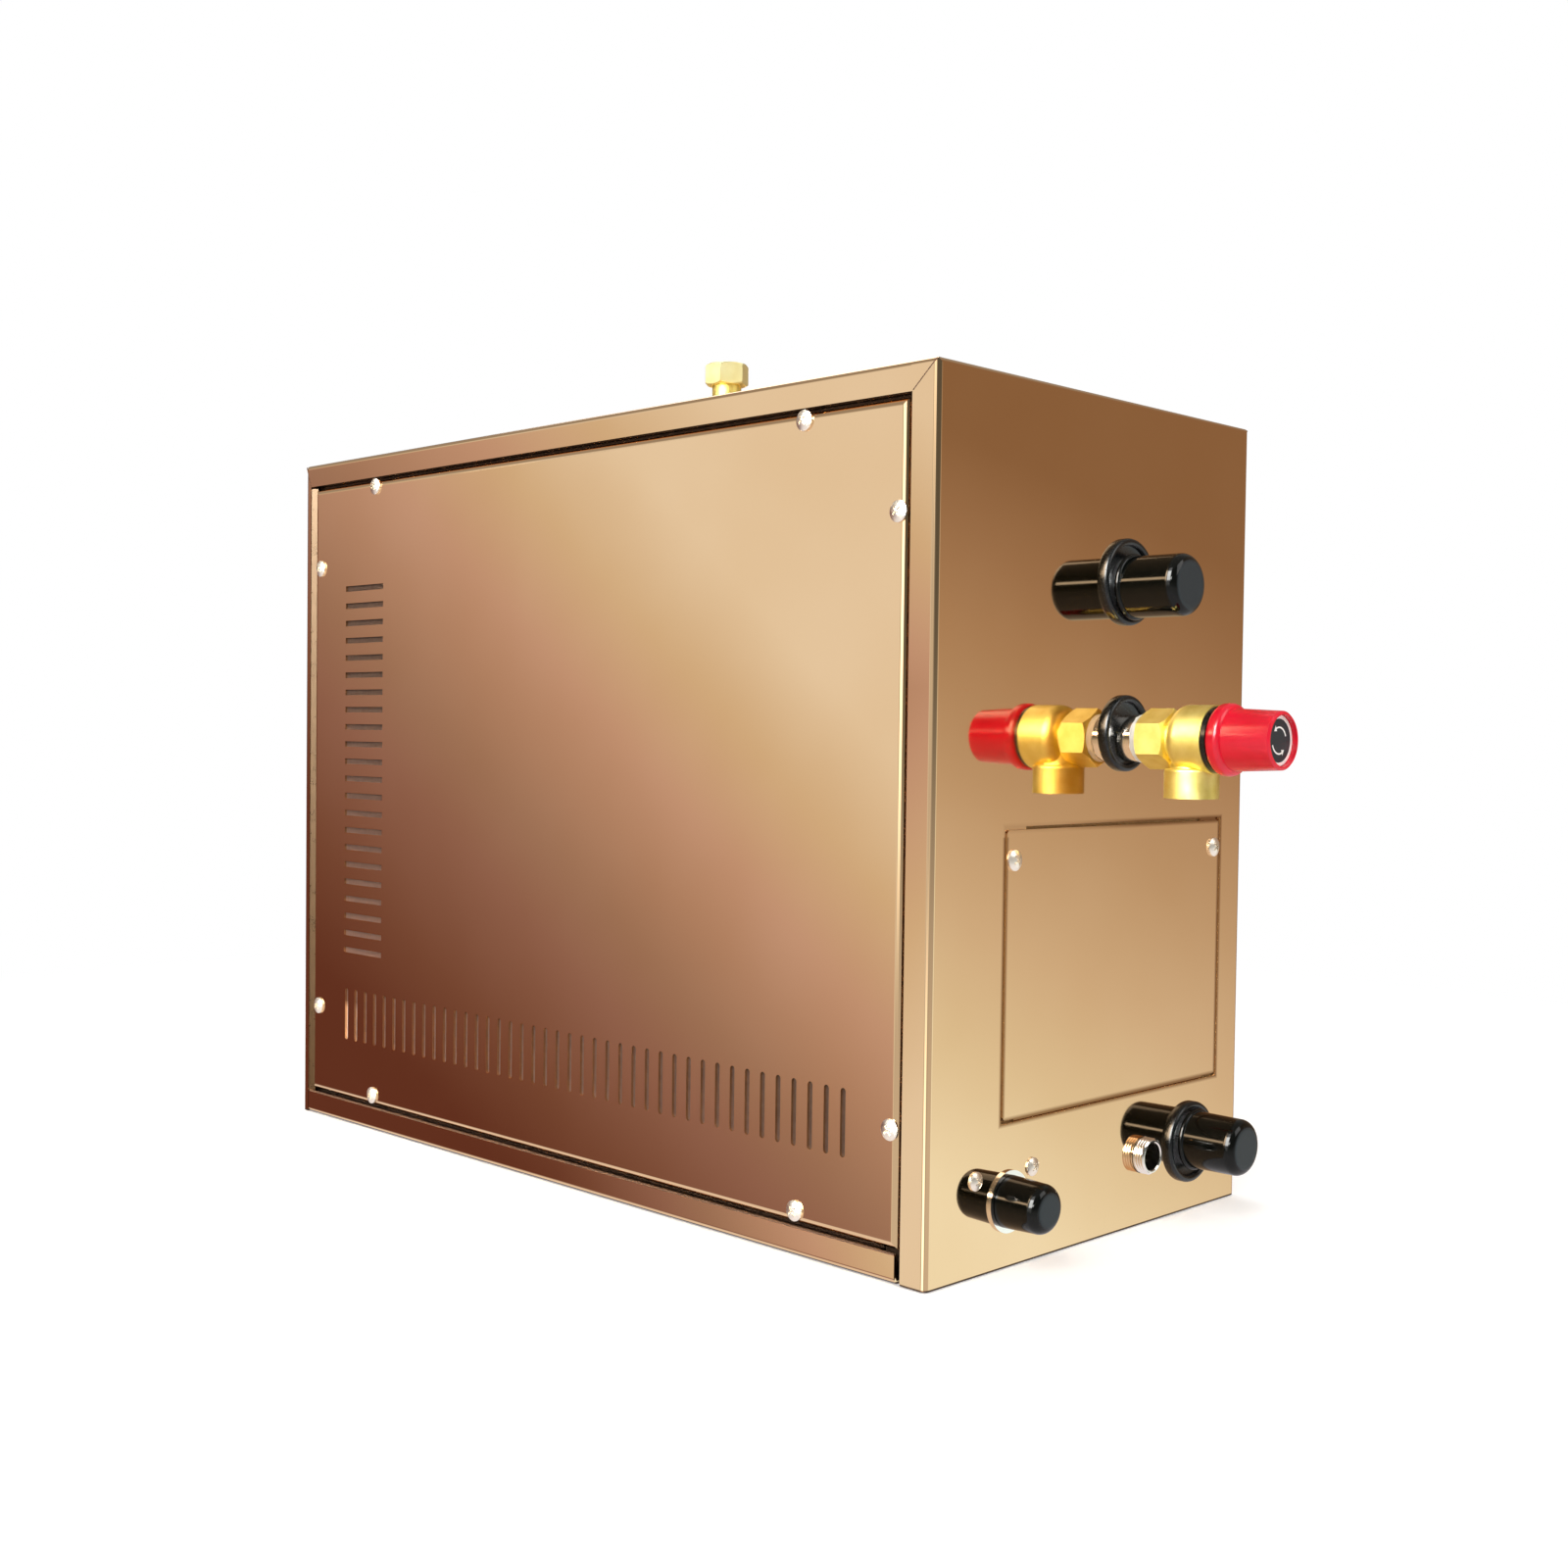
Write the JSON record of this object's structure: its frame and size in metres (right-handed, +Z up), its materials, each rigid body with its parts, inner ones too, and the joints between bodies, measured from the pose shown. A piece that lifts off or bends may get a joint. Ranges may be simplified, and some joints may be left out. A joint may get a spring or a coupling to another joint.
{
  "type": "sauna steam generator",
  "caption": "Sauna steam generator: a rose-gold steel casing with louvred side panel, steam outlet, relief valve with red cap, access cover, water inlet and drain.",
  "frame": {"origin": "middle of the casing's underside, on the floor", "axes": "+X towards the end with the connections, -Y towards the louvred side panel, +Z up"},
  "size_m": [0.572, 0.2448, 0.4128],
  "materials": {
    "rose_gold_steel": "mirror-polished sheet with a rose-gold coating",
    "chrome_screws": "bright chrome plating",
    "black_rubber": "satin moulded rubber",
    "black_vinyl": "glossy dipped vinyl",
    "brass": "bright machined brass",
    "stainless": "plain stainless steel",
    "spring_steel": "drawn spring wire",
    "seal_tape": "wound white sealing tape",
    "red_plastic": "glossy moulded plastic",
    "zinc_plate": "zinc-plated sheet",
    "wool": "needled mineral wool",
    "white_plastic": "moulded plastic",
    "board": "solder mask",
    "dark_plastic": "moulded plastic",
    "core_steel": "varnished laminations"
  },
  "bodies": {
    "casing": {"wrap": "rose_gold_steel", "base_pan": "rose_gold_steel", "side_panel": "rose_gold_steel", "back_panel": "rose_gold_steel", "access_cover": "rose_gold_steel", "casing_screws": "chrome_screws", "clamp_screws": "chrome_screws", "steam_grommet": "black_rubber", "steam_pipe": "stainless", "valve_grommet": "black_rubber", "relief_pipe": "chrome_screws", "seal_tape": "seal_tape", "relief_body": "brass", "relief_spring": "spring_steel", "relief_bonnet": "brass", "relief_gasket": "black_rubber", "cable_conduit": "chrome_screws", "lock_nuts": "chrome_screws", "cable_clamp": "zinc_plate", "inlet_nipple": "chrome_screws", "inlet_valve_body": "brass", "inlet_coil": "dark_plastic", "inlet_spring": "spring_steel", "feed_pipe": "stainless", "drain_grommet": "black_rubber", "drain_outlet": "stainless", "drain_valve_body": "brass", "drain_coil": "dark_plastic", "drain_spring": "spring_steel", "drain_pipe": "stainless", "filler_stub": "brass", "top_plug": "brass", "tank": "stainless", "insulation": "wool", "tank_stands": "zinc_plate", "heater_flange": "stainless", "heater_gasket": "black_rubber", "heater_bolts": "stainless", "heater_elements": "stainless", "level_chamber": "stainless", "partition": "zinc_plate", "control_board": "board", "board_parts": "white_plastic", "transformer": "core_steel", "component_plate": "zinc_plate", "terminal_block": "white_plastic", "contactor": "dark_plastic", "contactor_spring": "spring_steel", "thermostat": "dark_plastic"},
    "steam_cap_body": {"steam_cap": "black_vinyl"},
    "drain_cap_body": {"drain_cap": "black_vinyl"},
    "conduit_cap_body": {"conduit_cap": "black_vinyl"},
    "relief_stem_body": {"relief_stem": "stainless"},
    "relief_cap_body": {"relief_cap": "red_plastic", "relief_cap_disc": "black_vinyl"},
    "inlet_plunger_body": {"inlet_plunger": "stainless"},
    "drain_plunger_body": {"drain_plunger": "stainless"},
    "float_body": {"level_float": "white_plastic"},
    "armature_body": {"contactor_armature": "white_plastic"},
    "reset_body": {"reset_button": "red_plastic"}
  },
  "joints": [
    {"name": "steam_cap_pull", "type": "slide", "parent": "casing", "child": "steam_cap_body", "axis": [1, 0, 0], "range_m": [0, 0.045]},
    {"name": "drain_cap_pull", "type": "slide", "parent": "casing", "child": "drain_cap_body", "axis": [1, 0, 0], "range_m": [0, 0.045]},
    {"name": "conduit_cap_pull", "type": "slide", "parent": "casing", "child": "conduit_cap_body", "axis": [1, 0, 0], "range_m": [0, 0.035]},
    {"name": "relief_stem_lift", "type": "slide", "parent": "casing", "child": "relief_stem_body", "axis": [1, 0, 0], "range_m": [0, 0.0025], "stiffness_N_per_m": 400, "springref_m": -0.002},
    {"name": "relief_cap_turn", "type": "hinge", "parent": "relief_stem_body", "child": "relief_cap_body", "pos_m": [0.297, 0.0157, 0.23], "axis": [1, 0, 0], "range_deg": [0, 90]},
    {"name": "inlet_plunger_lift", "type": "slide", "parent": "casing", "child": "inlet_plunger_body", "axis": [0, 0, 1], "range_m": [0, 0.002], "stiffness_N_per_m": 400, "springref_m": -0.002, "deforming": ["inlet_spring"]},
    {"name": "drain_plunger_lift", "type": "slide", "parent": "casing", "child": "drain_plunger_body", "axis": [0, 0, 1], "range_m": [0, 0.002], "stiffness_N_per_m": 400, "springref_m": -0.002, "deforming": ["drain_spring"]},
    {"name": "float_rise", "type": "slide", "parent": "casing", "child": "float_body", "axis": [0, 0, 1], "range_m": [0, 0.08]},
    {"name": "armature_pull", "type": "slide", "parent": "casing", "child": "armature_body", "axis": [-1, 0, 0], "range_m": [0, 0.004], "stiffness_N_per_m": 400, "springref_m": -0.001},
    {"name": "reset_press", "type": "slide", "parent": "casing", "child": "reset_body", "axis": [-1, 0, 0], "range_m": [0, 0.0015], "stiffness_N_per_m": 400, "springref_m": -0.001}
  ],
  "couplings": [
    {"joint": "relief_cap_turn", "follows": "relief_stem_lift", "rad_per_m": 628.32}
  ]
}
